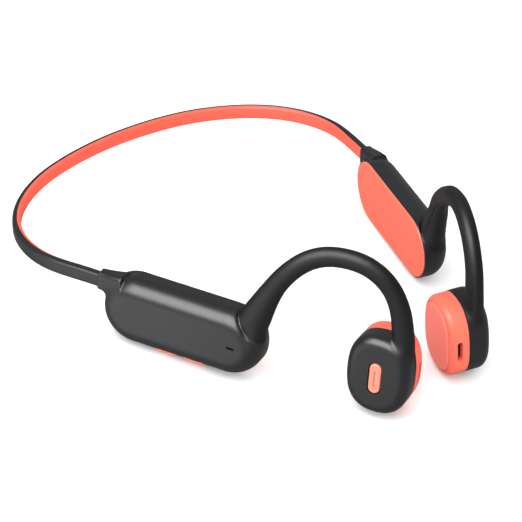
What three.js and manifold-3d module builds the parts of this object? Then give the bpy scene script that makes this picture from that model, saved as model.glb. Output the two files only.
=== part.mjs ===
// Neckband headphones that sit in front of the ears: a sprung band round the
// back of the neck, a control pod behind each ear, a hook over each ear and a
// vibrating speaker that rests on each cheekbone.
//
// Millimetres, +Z up, +X towards the wearer's left, the wearer faces -Y.
// Every piece is drawn for the wearer's right side (x < 0) in the headband
// frame: z = 0 is the mid plane of the neckband, y = 0 is where the band leaves
// the pod. The left side is the mirror image. The whole headset is then turned
// by REST_TILT about X and lifted, so that it stands on z = 0 the way it rests
// on a table: on the lower ends of its two speakers and its two pods.

import * as THREE from 'three';
import { mergeVertices } from 'three/addons/utils/BufferGeometryUtils.js';
import Module from 'manifold-3d';

const wasm = await Module();
wasm.setup();

// ---------------------------------------------------------------- dimensions
const REST_TILT = 7.2; // degrees about X, front end up
const LIFT = 16.337; // rest height of the band's mid plane at the pods
const SHIFT_Y = 13.971; // moves the origin to the middle of the headset's length

const GAP = 0.15; // clearance between neighbouring pieces that follow one curve
const BODY_GAP = 0.12; // clearance of collar and hook round the pod and speaker
const WALL = 1.3; // pod shell, speaker shell and speaker housing

// The pod and the speaker each have a frame: forward along the piece, up, and
// outward from the head. Depths are measured outward from the frame's origin.

// Pod: a flat stadium.
const POD_CENTRE = [-46.97, -28.08, -8.36];
const POD_ANGLES = [21.41, -4.28, 2.33]; // toe-in, pitch, roll in degrees
const POD_RUN = 15.19; // half the distance between the end arcs' centres
const POD_RADIUS = 10.58; // end arcs
const POD_OUT = 4.2; // outer face
const POD_SEAM = -4.5; // shell's rim
const POD_IN = -5.2; // cover's outside face
const POD_FILLET = 3.6;

// Speaker: a superelliptic puck, with the shell's rim at depth 0.
const SPEAKER_CENTRE = [-14.52, -79.58, -13.08];
const SPEAKER_ANGLES = [21.51, -2.34, 3.86];
const SPEAKER_HALF_WIDTH = 9.85;
const SPEAKER_HALF_HEIGHT = 12.85;
const SPEAKER_POWER = 2.36; // superellipse exponent
const SPEAKER_OUT = 6.9; // outer face
const SPEAKER_FILLET = 3.03;
const HOUSING_IN = -5.15; // inner face of the coral housing
const HOUSING_INSET = 0.1;
const HOUSING_ROUND = 2.0; // outside edge
const HOUSING_CAVITY_ROUND = 1.0;
const PAD_FACE = -6.85; // skin contact face
const PAD_INSET = 2.4;

// Rim joint of both shells: a rabbet cut into the wall, with a seal in it.
// Widths are measured into the wall from the cavity, depths from the rim.
const RABBET_WIDTH = 0.72;
const RABBET_DEPTH = 0.8;
const SEAL_OUTSIDE = 0.58;
const SEAL_INSIDE = 0.12;
const SEAL_TOP = 0.65;

// Ear hook centreline, from inside the pod, over the ear, into the speaker.
const HOOK_PATH = [
  [-39.2, -45.6, -6.2], [-38.25, -47.6, -1.9],
  [-37.15, -49.4, 2.2], [-35.7, -52.2, 8.1], [-33.9, -55.1, 13.6],
  [-31.6, -58.4, 18.1], [-28.9, -61.8, 21.2], [-26.0, -65.9, 23.05],
  [-23.2, -71.1, 23.6], [-20.5, -76.2, 22.6], [-18.2, -80.3, 19.8],
  [-16.5, -83.3, 15.6], [-15.4, -85.3, 9.8], [-14.82, -86.05, 3.0],
  [-14.55, -86.25, -3.6],
];
// Half widths along the path: [share of its length, in the plane of the hook,
// across it].
const HOOK_RADII = [
  [0, 4.6, 3.5], [0.1, 4.35, 3.4], [0.17, 3.6, 3.0], [0.24, 3.1, 2.6],
  [0.33, 2.88, 2.4], [0.88, 2.86, 2.4], [0.95, 3.0, 2.5], [1, 3.1, 2.6],
];
const HOOK_BORE = 1.5; // radius
const HOOK_WIRE_OFFSET = 0.68; // wire outside the bend, cable inside it
const WIRE_RADIUS = 0.55; // sprung titanium wire
const CABLE_RADIUS = 0.55; // insulated cable

// Neckband centreline [x, y], from the pod to the middle of the back.
const BAND_PATH = [
  [-56.5, 0], [-61.21, 19.57], [-57.24, 36.22],
  [-45.36, 49.65], [-26.33, 59.0], [0, 62.54],
];
const BAND_LEAD = [-53.6, -9.6, -0.6]; // where it ends inside the pod
const BAND_HEIGHT = 4.66;
const BAND_THICKNESS = 2.65; // half of it the dark sleeve
const BAND_CORNER = 1.05;
const BAND_STATIONS = 17;
const CHANNEL_HEIGHT = 2.7; // room for the wire and the cable
const CHANNEL_THICKNESS = 1.3;
const BAND_WIRE_Z = 0.65;
const BAND_CABLE_Z = -0.66;
const MID_GAP = 0.3; // between the two halves of the band at the back

// Collar between band and pod, and the bore that leads wires into the pod.
const BOOT_HEIGHT = 5.6;
const BOOT_THICKNESS = 3.9;
const BOOT_CORNER = 1.7;
const BOOT_FLARE = { height: 0.7, thickness: 0.9, length: 9 }; // towards the pod
const LEAD_HEIGHT = 3.1;
const LEAD_THICKNESS = 1.7;
const LEAD_TOE_IN = 17; // degrees, bore's inner end

// Volume buttons: stadium-like keys in the pod's lower edge.
const VOLUME_ALONG = { volume_up: 4.7, volume_down: -4.45 }; // place along the pod
const VOLUME_DEPTH = -1.7;
const VOLUME_LENGTH = 7.9;
const VOLUME_WIDTH = 2.7;
const VOLUME_CORNER = 1.2;
const VOLUME_PROUD = 0.35;
const VOLUME_HOLE_EXTRA = 0.3;

// Action button in the right speaker's outer face: [forward, up].
const ACTION_AT = [-0.15, -0.3];
const ACTION_LENGTH = 9.7;
const ACTION_WIDTH = 3.6;
const ACTION_PROUD = 0.35;
const ACTION_HOLE_EXTRA = 0.5;

const SLIT_AT = [17.5, 0.05]; // microphone slit in the right pod's outer face
const DRIVER_AT = [-0.9, -1.6]; // driver axis in the speaker
const VENT = { up: 0.1, depth: -3.15, length: 6.8, width: 1.15 }; // housing slot

// Plain blocks: centre [forward, up], size [forward, up], depth [from, to].
const BLOCKS = {
  slit: { centre: SLIT_AT, size: [2.4, 0.5], depth: [2, 5] },
  microphone: { centre: SLIT_AT, size: [3.5, 2.6], depth: [0.5, 1.6] },
  microphoneMesh: { centre: SLIT_AT, size: [3.8, 2], depth: [2.2, 2.55] },
  chip: { centre: [-2.75, 1], size: [6.5, 6], depth: [-1, 0] },
  batteryBoard: { centre: [11.45, -1], size: [1.5, 9], depth: [-1, 1.6] },
  ventMesh: {
    centre: [6.77, VENT.up],
    size: [0.3, VENT.length],
    depth: [VENT.depth - 0.7, VENT.depth + 0.7],
  },
  actionSwitch: { centre: ACTION_AT, size: [4, 4], depth: [1.75, 3.3] },
};
const VOLUME_SWITCH = { up: -7.2, size: [4, 2], depth: [-2.6, -0.9] };

// Blocks with rounded corners; steps are the segments per corner.
const SLABS = {
  board: { centre: [-3.2, 0.2], size: [27, 11.4], depth: [0.1, 0.9], corner: 1, steps: 1 },
  cell: { centre: [-2.2, -0.6], size: [25, 11.6], depth: [-2.9, 1.9], corner: 1.2, steps: 2 },
  foam: { centre: [-2.2, -0.6], size: [22, 9], depth: [2.1, 2.65], corner: 1, steps: 1 },
};

// ------------------------------------------------------------------ materials
const material = (settings) => new THREE.MeshStandardMaterial(settings);
const CHARCOAL = material({ color: 0x3a3b3d, roughness: 0.55 });
const RUBBER = material({ color: 0x353638, roughness: 0.62 });
const CORAL = material({ color: 0xff6b4f, roughness: 0.5 });
const CORAL_PAD = material({ color: 0xff8478, roughness: 0.65 });
const SEAL = material({ color: 0x1a1a1a, roughness: 0.8 });
const TITANIUM = material({ color: 0x9a9c9f, roughness: 0.35, metalness: 1 });
const COPPER = material({ color: 0xb87333, roughness: 0.35, metalness: 1 });
const STEEL = material({ color: 0x8d9094, roughness: 0.35, metalness: 1 });
const BOARD = material({ color: 0x17502f, roughness: 0.5 });
const CHIP = material({ color: 0x151515, roughness: 0.45 });
const FOIL = material({ color: 0x9fa3a8, roughness: 0.4, metalness: 0.8 });

// --------------------------------------------------------------------- frames
const UP = new THREE.Vector3(0, 0, 1);
const vector = (point) => new THREE.Vector3(...point);
const radians = THREE.MathUtils.degToRad;

// An origin with forward, up and outward directions from angles in degrees.
function frameOf(centre, angles) {
  const [yaw, pitch, roll] = angles.map(radians);
  const forward = new THREE.Vector3(
    Math.sin(yaw) * Math.cos(pitch), -Math.cos(yaw) * Math.cos(pitch), Math.sin(pitch));
  const level = new THREE.Vector3().crossVectors(forward, UP).normalize();
  const upright = new THREE.Vector3().crossVectors(level, forward);
  const turn = (from, to, sine) =>
    from.clone().multiplyScalar(Math.cos(roll)).addScaledVector(to, sine);
  return {
    origin: vector(centre),
    forward,
    up: turn(upright, level, -Math.sin(roll)),
    outward: turn(level, upright, Math.sin(roll)),
  };
}

const shifted = (frame, x, y, z = 0) => ({
  ...frame,
  origin: frame.origin.clone()
    .addScaledVector(frame.forward, x)
    .addScaledVector(frame.up, y)
    .addScaledVector(frame.outward, z),
});

// Swaps up and outward, so that outlines stack along the piece's up direction.
const upended = (frame) => ({ ...frame, up: frame.outward, outward: frame.up });

// --------------------------------------------------------------------- solids
// Welds a closed geometry and turns its faces outwards.
function solid(geometry) {
  for (const name of Object.keys(geometry.attributes))
    if (name !== 'position') geometry.deleteAttribute(name);
  const merged = mergeVertices(geometry, 1e-4);
  const vertProperties = merged.attributes.position.array;
  const triVerts = new Uint32Array(merged.index.array);
  const corner = (i) => new THREE.Vector3().fromArray(vertProperties, 3 * triVerts[i]);
  let volume = 0;
  for (let i = 0; i < triVerts.length; i += 3)
    volume += corner(i).dot(corner(i + 1).cross(corner(i + 2)));
  if (volume < 0)
    for (let i = 0; i < triVerts.length; i += 3)
      [triVerts[i + 1], triVerts[i + 2]] = [triVerts[i + 2], triVerts[i + 1]];
  return new wasm.Manifold(new wasm.Mesh({ numProp: 3, vertProperties, triVerts }));
}

// A closed solid through stations whose outlines have equal numbers of points.
// A station is an origin, two in-plane directions and an outline of [x, y].
function loft(stations) {
  const count = stations[0].outline.length;
  const positions = [];
  const index = [];
  for (const { origin, xAxis, yAxis, outline } of stations)
    for (const [x, y] of outline) {
      const point = origin.clone().addScaledVector(xAxis, x).addScaledVector(yAxis, y);
      positions.push(...point.toArray());
    }
  for (let i = 0; i + 1 < stations.length; i++)
    for (let j = 0; j < count; j++) {
      const here = i * count + j;
      const beside = i * count + ((j + 1) % count);
      index.push(here, beside, beside + count, here, beside + count, here + count);
    }
  const cap = ({ outline }) => THREE.ShapeUtils.triangulateShape(
    outline.map(([x, y]) => new THREE.Vector2(x, y)), []);
  for (const [i, j, k] of cap(stations[0])) index.push(i, k, j);
  const last = (stations.length - 1) * count;
  for (const [i, j, k] of cap(stations.at(-1))) index.push(last + i, last + j, last + k);
  const geometry = new THREE.BufferGeometry();
  geometry.setAttribute('position', new THREE.Float32BufferAttribute(positions, 3));
  geometry.setIndex(index);
  return solid(geometry);
}

// A loft along the frame's outward direction: levels = [[depth, outline], ...].
const stack = (frame, levels) => loft(levels.map(([depth, outline]) => ({
  origin: shifted(frame, 0, 0, depth).origin,
  xAxis: frame.forward,
  yAxis: frame.up,
  outline,
})));
const prism = (frame, from, to, outline) => stack(frame, [[from, outline], [to, outline]]);

function placed(geometry, { origin, forward, up, outward }) {
  geometry.applyMatrix4(new THREE.Matrix4().makeBasis(forward, up, outward));
  geometry.translate(origin.x, origin.y, origin.z);
  return solid(geometry);
}

function block(frame, { centre: [x, y], size: [width, height], depth: [from, to] }) {
  const geometry = new THREE.BoxGeometry(width, height, to - from);
  geometry.translate(x, y, (from + to) / 2);
  return placed(geometry, frame);
}

const slab = (frame, { centre, size, depth, corner, steps }) =>
  prism(shifted(frame, ...centre), ...depth, roundRect(...size, corner, steps));

// A profile of [radius, depth] turned about the frame's outward direction.
function turned(frame, profile, steps = 14) {
  const points = profile.map(([radius, depth]) => new THREE.Vector2(radius, depth));
  return placed(new THREE.LatheGeometry(points, steps).rotateX(Math.PI / 2), frame);
}
const ring = (frame, inner, outer, from, to) =>
  turned(frame, [[inner, from], [outer, from], [outer, to], [inner, to], [inner, from]]);

// A loft along a curve at the given shares of its length. The outline's y stays
// near the hint direction.
const sweep = (curve, hint, shares, outlineAt) => loft(shares.map((share) => {
  const tangent = curve.getTangentAt(share);
  const yAxis = hint.clone().addScaledVector(tangent, -hint.dot(tangent)).normalize();
  return {
    origin: curve.getPointAt(share),
    xAxis: new THREE.Vector3().crossVectors(yAxis, tangent).normalize(),
    yAxis,
    outline: outlineAt(share),
  };
}));
const spread = (count, from, to) =>
  Array.from({ length: count }, (_, i) => from + ((to - from) * i) / (count - 1));

// ------------------------------------------------------------------- outlines
function arc(radius, centreX, centreY, start, sweepAngle, steps) {
  return spread(steps + 1, start, start + sweepAngle).map((angle) =>
    [centreX + radius * Math.cos(angle), centreY + radius * Math.sin(angle)]);
}
const stadium = (radius, run) => [
  ...arc(radius, run, 0, -Math.PI / 2, Math.PI, 8),
  ...arc(radius, -run, 0, Math.PI / 2, Math.PI, 8),
];
function roundRect(width, height, radius, steps) {
  const x = width / 2 - radius;
  const y = height / 2 - radius;
  return [[x, -y], [x, y], [-x, y], [-x, -y]].flatMap(([cornerX, cornerY], i) =>
    arc(radius, cornerX, cornerY, ((i - 1) * Math.PI) / 2, Math.PI / 2, steps));
}
// Angles at the middles of equal steps round a full turn.
const turnAngles = (steps) =>
  Array.from({ length: steps }, (_, i) => (2 * Math.PI * (i + 0.5)) / steps);
const circle = (radius, steps, x = 0, y = 0) => turnAngles(steps).map((angle) =>
  [x + radius * Math.cos(angle), y + radius * Math.sin(angle)]);
function superellipse(halfWidth, halfHeight) {
  const bulge = (value) => Math.sign(value) * Math.abs(value) ** (2 / SPEAKER_POWER);
  return turnAngles(22).map((angle) =>
    [bulge(Math.cos(angle)) * halfWidth, bulge(Math.sin(angle)) * halfHeight]);
}

// --------------------------------------------------------- pod, speaker bodies
// outlineAt gives the body's outline moved inwards by an inset.
const POD = {
  ...frameOf(POD_CENTRE, POD_ANGLES),
  outlineAt: (inset) => stadium(POD_RADIUS - inset, POD_RUN),
  rim: POD_SEAM,
  face: POD_OUT,
  fillet: POD_FILLET,
};
const SPEAKER = {
  ...frameOf(SPEAKER_CENTRE, SPEAKER_ANGLES),
  outlineAt: (inset) => superellipse(SPEAKER_HALF_WIDTH - inset, SPEAKER_HALF_HEIGHT - inset),
  rim: 0,
  face: SPEAKER_OUT,
  fillet: SPEAKER_FILLET,
};
const FINE = [0, 30, 60, 90]; // degrees round a fillet
const COARSE = [0, 45, 90];

// Levels round the edge of a face; facing is 1 for an outer face, -1 for an inner.
const filletLevels = ({ outlineAt }, { angles, radius, face, facing = 1, inset }) =>
  angles.map((degrees) => [
    face - facing * radius * (1 - Math.sin(radians(degrees))),
    outlineAt(inset + radius * (1 - Math.cos(radians(degrees)))),
  ]);

const outerBody = (body, grow, from) => stack(body, [
  [from, body.outlineAt(-grow)],
  ...filletLevels(body,
    { angles: FINE, radius: body.fillet, face: body.face + grow, inset: -grow }),
]);

function hollowShell(body) {
  const { outlineAt, rim, fillet, face } = body;
  const cavity = stack(body, [
    [rim - 1, outlineAt(WALL)],
    ...filletLevels(body,
      { angles: COARSE, radius: fillet - WALL, face: face - WALL, inset: WALL }),
  ]);
  const rabbet = prism(body, rim - 1, rim + RABBET_DEPTH, outlineAt(WALL - RABBET_WIDTH));
  return outerBody(body, 0, rim).subtract(cavity).subtract(rabbet);
}

const rimSeal = (body, below) =>
  prism(body, body.rim - below, body.rim + SEAL_TOP, body.outlineAt(WALL - SEAL_OUTSIDE))
    .subtract(prism(body, body.rim - 1, body.rim + 1, body.outlineAt(WALL - SEAL_INSIDE)));

// ------------------------------------------------------------------- ear hook
const hookCurve = new THREE.CatmullRomCurve3(HOOK_PATH.map(vector), false, 'catmullrom', 0.5);
const hookHint = POD.outward.clone().add(SPEAKER.outward).normalize();
const hookSweep = (shares, outlineAt) => sweep(hookCurve, hookHint, shares, outlineAt);
const hookBore = (grow, shares) => hookSweep(shares, () => circle(HOOK_BORE + grow, 8));
const hookPodBore = hookBore(GAP, spread(6, 0, 0.25));

function hookSection(share) {
  const next = HOOK_RADII.findIndex(([end]) => share <= end);
  const [from, to] = [HOOK_RADII[next - 1], HOOK_RADII[next]];
  const blend = (share - from[0]) / (to[0] - from[0]);
  const inPlane = THREE.MathUtils.lerp(from[1], to[1], blend);
  const across = THREE.MathUtils.lerp(from[2], to[2], blend);
  return circle(1, 12).map(([x, y]) => [inPlane * x, across * y]);
}

const earHook = () => hookSweep(spread(20, 0.03, 1), hookSection)
  .subtract(outerBody(POD, BODY_GAP, POD_IN - 3))
  .subtract(outerBody(SPEAKER, BODY_GAP, -0.3))
  .subtract(hookBore(0, spread(20, 0, 1)));

const hookStrand = (radius, offset) =>
  hookSweep(spread(18, 0.005, 0.985), () => circle(radius, 5, offset, 0));

// ------------------------------------------------------------------- neckband
const bandHalf = BAND_PATH.map(([x, y]) => new THREE.Vector3(x, y, 0));
const bandRight = [vector(BAND_LEAD), ...bandHalf];
const bandLeft = bandRight.slice(0, -1).reverse()
  .map(({ x, y, z }) => new THREE.Vector3(-x, y, z));
const bandCurve = new THREE.CatmullRomCurve3(
  [...bandRight, ...bandLeft], false, 'catmullrom', 0.5);
bandCurve.arcLengthDivisions = 800;
const BAND_LENGTH = bandCurve.getLength();

// Places along the band are lengths from its end inside the pod.
const LEAD = vector(BAND_LEAD).distanceTo(bandHalf[0]);
const SKIN_START = LEAD - 3.2; // both skins end inside the collar
const STRAND_START = 0.3; // wire and cable reach into the pod
const BORE_END = LEAD + 3;
const BOOT_END = LEAD - 1;
const bandSweep = (places, outlineAt) => sweep(bandCurve, UP,
  places.map((place) => place / BAND_LENGTH), (share) => outlineAt(share * BAND_LENGTH));
const bandStations = spread(BAND_STATIONS, SKIN_START, (BAND_LENGTH - MID_GAP) / 2);

// Outer half of the band's section, holding half the channel: x is away from the
// neck and y is up.
function sleeveOutline() {
  const top = BAND_HEIGHT / 2;
  const outside = BAND_THICKNESS / 2;
  const split = GAP / 2;
  const channelTop = CHANNEL_HEIGHT / 2;
  const channelSide = CHANNEL_THICKNESS / 2;
  const cut = BAND_CORNER * 0.293; // corner arc's midpoint, in from both sides
  return [
    [split, -top], [outside - BAND_CORNER, -top], [outside - cut, -top + cut],
    [outside, -top + BAND_CORNER], [outside, top - BAND_CORNER],
    [outside - cut, top - cut], [outside - BAND_CORNER, top], [split, top],
    [split, channelTop], [channelSide, channelTop],
    [channelSide, -channelTop], [split, -channelTop],
  ];
}
const linerOutline = () => sleeveOutline().map(([x, y]) => [-x, -y]);

const bandStrand = (radius, z) =>
  bandSweep([STRAND_START, ...bandStations], () => circle(radius, 5, 0, z));

// Bore for wire and cable from the band into the pod.
const leadBore = bandSweep(spread(8, 0, BORE_END),
  () => roundRect(LEAD_THICKNESS, LEAD_HEIGHT, 0.6, 2))
  .add(block(frameOf(BAND_LEAD, [LEAD_TOE_IN, 0, 0]), {
    centre: [1, 0],
    size: [4, LEAD_HEIGHT],
    depth: [-LEAD_THICKNESS / 2, LEAD_THICKNESS / 2],
  }));

function bandBoot() {
  const boot = bandSweep(spread(7, 0.6, BOOT_END), (place) => {
    const flare = THREE.MathUtils.clamp((BOOT_END - place) / BOOT_FLARE.length, 0, 1);
    return roundRect(BOOT_THICKNESS + BOOT_FLARE.thickness * flare,
      BOOT_HEIGHT + BOOT_FLARE.height * flare, BOOT_CORNER, 2);
  });
  const bore = bandSweep(spread(6, SKIN_START - GAP, BORE_END),
    () => roundRect(BAND_THICKNESS + 2 * GAP, BAND_HEIGHT + 2 * GAP, BAND_CORNER, 2));
  return boot.subtract(outerBody(POD, BODY_GAP, POD_IN - 4)).subtract(bore).subtract(leadBore);
}

// ------------------------------------------------------------------------ pod
const volumeFrame = (along) => upended(shifted(POD, along, 0, VOLUME_DEPTH));

function podShell(prefix) {
  let shell = hollowShell(POD).subtract(hookPodBore).subtract(leadBore);
  if (prefix === 'left') return shell;
  shell = shell.subtract(block(POD, BLOCKS.slit));
  const hole = roundRect(VOLUME_LENGTH + VOLUME_HOLE_EXTRA, VOLUME_WIDTH + VOLUME_HOLE_EXTRA,
    VOLUME_CORNER, 3);
  for (const along of Object.values(VOLUME_ALONG))
    shell = shell.subtract(prism(volumeFrame(along), -12, -8, hole));
  return shell;
}

// A plate with a lip that fits inside the shell.
function podCover() {
  const { outlineAt } = POD;
  const plate = stack(POD, [
    [POD_SEAM - 0.15, outlineAt(0.14)],
    [POD_IN + 0.2, outlineAt(0.34)],
    [POD_IN, outlineAt(0.74)],
  ]);
  const lip = prism(POD, POD_SEAM - 0.2, POD_SEAM + 0.9, outlineAt(WALL + 0.2))
    .subtract(prism(POD, POD_SEAM - 0.15, POD_SEAM + 1.2, outlineAt(WALL + 1)));
  return plate.add(lip).subtract(leadBore).subtract(hookPodBore);
}

function volumeButton(along) {
  const low = -POD_RADIUS - VOLUME_PROUD;
  const full = roundRect(VOLUME_LENGTH, VOLUME_WIDTH, VOLUME_CORNER, 3);
  const face = roundRect(VOLUME_LENGTH - 0.5, VOLUME_WIDTH - 0.5, VOLUME_CORNER - 0.25, 3);
  return stack(volumeFrame(along), [[low, face], [low + 0.25, full], [-9, full]]);
}

const volumePieces = ([name, along]) => [
  [`${name}_switch`, block(POD, { ...VOLUME_SWITCH, centre: [along, VOLUME_SWITCH.up] }), STEEL],
  [`${name}_button`, volumeButton(along), CORAL],
];

// The right pod holds the electronics, the left one the battery.
const podContents = {
  right: () => [
    ['main_board', slab(POD, SLABS.board), BOARD],
    ['main_chip', block(POD, BLOCKS.chip), CHIP],
    ...Object.entries(VOLUME_ALONG).flatMap(volumePieces),
    ['microphone', block(POD, BLOCKS.microphone), STEEL],
    ['microphone_mesh', block(POD, BLOCKS.microphoneMesh), SEAL],
  ],
  left: () => [
    ['battery_cell', slab(POD, SLABS.cell), FOIL],
    ['battery_board', block(POD, BLOCKS.batteryBoard), BOARD],
    ['battery_foam', slab(POD, SLABS.foam), SEAL],
  ],
};

// -------------------------------------------------------------------- speaker
const ACTION = shifted(SPEAKER, ...ACTION_AT);
const DRIVER = shifted(SPEAKER, ...DRIVER_AT);

function speakerShell(prefix) {
  const shell = hollowShell(SPEAKER).subtract(hookBore(GAP, spread(8, 0.75, 1)));
  if (prefix === 'left') return shell;
  const hole = roundRect(ACTION_WIDTH + ACTION_HOLE_EXTRA, ACTION_LENGTH + ACTION_HOLE_EXTRA,
    ACTION_WIDTH / 2 + 0.2, 4);
  return shell.subtract(prism(ACTION, 4, 8, hole));
}

// An open cup with a rounded inner face and a slot through its front wall.
function speakerHousing() {
  const cup = (top, inset, radius, face) => stack(SPEAKER, [
    [top, SPEAKER.outlineAt(inset)],
    ...filletLevels(SPEAKER, { angles: FINE, radius, face, facing: -1, inset }),
  ]);
  const slot = prism(upended(shifted(SPEAKER, SPEAKER_HALF_WIDTH, 0, VENT.depth)),
    VENT.up - VENT.length / 2, VENT.up + VENT.length / 2, roundRect(5, VENT.width, 0.4, 1));
  return cup(-0.2, HOUSING_INSET, HOUSING_ROUND, HOUSING_IN)
    .subtract(cup(1, HOUSING_INSET + WALL, HOUSING_CAVITY_ROUND, HOUSING_IN + WALL))
    .subtract(slot);
}

const skinPad = () => stack(SPEAKER, [
  [HOUSING_IN - 0.12, SPEAKER.outlineAt(PAD_INSET)],
  [PAD_FACE + 0.6, SPEAKER.outlineAt(PAD_INSET)],
  [PAD_FACE + 0.18, SPEAKER.outlineAt(PAD_INSET + 0.25)],
  [PAD_FACE, SPEAKER.outlineAt(PAD_INSET + 0.9)],
]);

const magnet = () => turned(DRIVER, [[0, -2.9], [3.3, -2.9], [3.3, -0.3], [0, -0.3]], 12);

// A cup that opens towards the skin.
const yoke = () => turned(DRIVER,
  [[0, -0.1], [5.2, -0.1], [5.2, -2.9], [6.1, -2.9], [6.1, 0.75], [0, 0.75]]);

// A cap that passes through the shell, on a wider flange inside it.
function actionButton() {
  const outline = (grow) => roundRect(ACTION_WIDTH + grow, ACTION_LENGTH + grow,
    (ACTION_WIDTH + grow) / 2 - 0.02, 4);
  const face = SPEAKER_OUT + ACTION_PROUD;
  return prism(ACTION, 3.9, 4.5, outline(1.4))
    .add(stack(ACTION, [[4.4, outline(0)], [face - 0.3, outline(0)], [face, outline(-0.7)]]));
}

const actionPieces = () => [
  ['action_button', actionButton(), CORAL],
  ['action_switch', block(SPEAKER, BLOCKS.actionSwitch), STEEL],
];

// ---------------------------------------------------------------- scene graph
// [name, solid, material] of every piece on one side.
function sidePieces(prefix) {
  const named = (pieces) => pieces.map(([name, ...rest]) => [`${prefix}_${name}`, ...rest]);
  return [
    ...named([
      ['band_sleeve', bandSweep(bandStations, sleeveOutline), RUBBER],
      ['band_liner', bandSweep(bandStations, linerOutline), CORAL],
      ['band_wire', bandStrand(WIRE_RADIUS, BAND_WIRE_Z), TITANIUM],
      ['band_cable', bandStrand(CABLE_RADIUS, BAND_CABLE_Z), SEAL],
      ['band_boot', bandBoot(), RUBBER],
      ['pod_shell', podShell(prefix), CHARCOAL],
      ['pod_cover', podCover(), CORAL],
      ['pod_seal', rimSeal(POD, 0.05), SEAL],
    ]),
    ...podContents[prefix](),
    ...named([
      ['ear_hook', earHook(), RUBBER],
      ['hook_wire', hookStrand(WIRE_RADIUS, HOOK_WIRE_OFFSET), TITANIUM],
      ['hook_cable', hookStrand(CABLE_RADIUS, -HOOK_WIRE_OFFSET), SEAL],
      ['speaker_shell', speakerShell(prefix), CHARCOAL],
      ['speaker_housing', speakerHousing(), CORAL],
      ['skin_pad', skinPad(), CORAL_PAD],
      ['vent_mesh', block(SPEAKER, BLOCKS.ventMesh), SEAL],
      ['speaker_seal', rimSeal(SPEAKER, 0.1), SEAL],
      ['driver_frame', ring(DRIVER, 6.55, 7.3, -3, 1), SEAL],
      ['spring_plate', ring(DRIVER, 1.4, 7.2, 1.15, 1.4), STEEL],
      ['voice_coil', ring(DRIVER, 3.85, 4.6, -3.85, -1.6), COPPER],
      ['magnet', magnet(), FOIL],
      ['yoke', yoke(), STEEL],
    ]),
    ...(prefix === 'right' ? actionPieces() : []),
  ];
}

function meshOf(name, shape, surface) {
  const { vertProperties, triVerts } = shape.getMesh();
  const geometry = new THREE.BufferGeometry();
  geometry.setAttribute('position',
    new THREE.BufferAttribute(new Float32Array(vertProperties), 3));
  geometry.setIndex(new THREE.BufferAttribute(new Uint32Array(triVerts), 1));
  const mesh = new THREE.Mesh(geometry, surface);
  mesh.name = name;
  return mesh;
}

const headset = new THREE.Group();
for (const prefix of ['right', 'left']) {
  const side = new THREE.Group();
  for (const piece of sidePieces(prefix)) side.add(meshOf(...piece));
  if (prefix === 'left') side.scale.x = -1; // mirror image of the right side
  headset.add(side);
}
headset.rotation.x = -radians(REST_TILT);
headset.position.set(0, SHIFT_Y, LIFT);

const part = new THREE.Group();
part.add(headset);
export default part;
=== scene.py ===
import bpy
import math
import numpy as np
from mathutils import Matrix, Vector


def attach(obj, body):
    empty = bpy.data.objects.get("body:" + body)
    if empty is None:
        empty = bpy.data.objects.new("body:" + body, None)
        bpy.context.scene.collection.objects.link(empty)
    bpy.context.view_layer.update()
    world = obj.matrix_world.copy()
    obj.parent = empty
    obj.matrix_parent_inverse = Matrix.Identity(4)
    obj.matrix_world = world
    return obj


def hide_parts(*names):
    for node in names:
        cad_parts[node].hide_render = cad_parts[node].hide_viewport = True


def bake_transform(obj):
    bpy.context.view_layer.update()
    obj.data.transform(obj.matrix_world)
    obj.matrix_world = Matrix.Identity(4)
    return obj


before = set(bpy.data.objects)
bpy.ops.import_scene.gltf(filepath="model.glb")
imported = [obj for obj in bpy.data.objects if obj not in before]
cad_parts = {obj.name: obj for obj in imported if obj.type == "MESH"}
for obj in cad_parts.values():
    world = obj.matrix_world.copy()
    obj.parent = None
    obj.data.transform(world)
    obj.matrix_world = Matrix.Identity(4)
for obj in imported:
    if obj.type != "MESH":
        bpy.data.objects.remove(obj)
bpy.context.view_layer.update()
H = 0.2  # voxel of the organic surfaces, mm

# ---------------------------------------------------------------- dimensions
# Millimetres, in the headset's own frame: +X wearer's left, -Y forward, +Z up,
# band mid plane at z = 0. to_world() stands it on the floor as the CAD does.
REST_TILT, LIFT, SHIFT_Y = 7.2, 16.337, 13.971
POD_CENTRE, POD_ANGLES = [-46.97, -28.08, -8.36], [21.41, -4.28, 2.33]
POD_RUN, POD_R, POD_OUT, POD_SEAM, POD_IN, POD_FILLET = 15.19, 10.8, 4.2, -4.95, -5.25, 5.9
SPK_CENTRE, SPK_ANGLES = [-14.52, -79.58, -13.08], [21.51, -2.34, 3.86]
SPK_A, SPK_B, SPK_P, SPK_OUT, SPK_FILLET = 9.85, 12.6, 2.5, 7.35, 3.3
PAD_FACE, SPK_ROUND = -6.6, 2.5
HOOK_PATH = [
    [-39.2, -45.6, -6.2], [-38.25, -47.6, -1.9], [-37.15, -49.4, 2.2], [-35.7, -52.2, 8.1],
    [-33.9, -55.1, 13.6], [-31.6, -58.4, 18.1], [-28.9, -61.8, 21.2], [-26.0, -65.9, 23.05],
    [-23.2, -71.1, 23.6], [-20.5, -76.2, 22.6], [-18.2, -80.3, 19.8], [-16.5, -83.3, 15.6],
    [-15.4, -85.3, 9.8], [-14.82, -86.05, 3.0], [-14.55, -86.25, -3.6]]
HOOK_R = [[-0.07, 2.6, 2.4], [0, 5.1, 3.6], [0.1, 4.7, 3.5], [0.17, 3.85, 3.1], [0.24, 3.25, 2.72],
          [0.33, 3.04, 2.52], [0.78, 3.0, 2.5], [0.88, 3.25, 2.6], [0.95, 3.4, 2.7], [1, 3.35, 2.75],
          [1.05, 3.0, 2.6], [1.11, 1.6, 1.6]]
BAND_PATH = [[-56.5, 0], [-61.21, 19.57], [-57.24, 36.22], [-45.36, 49.65], [-26.33, 59.0], [0, 62.54]]
BAND_LEAD = [-53.6, -9.6, -0.6]
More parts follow.
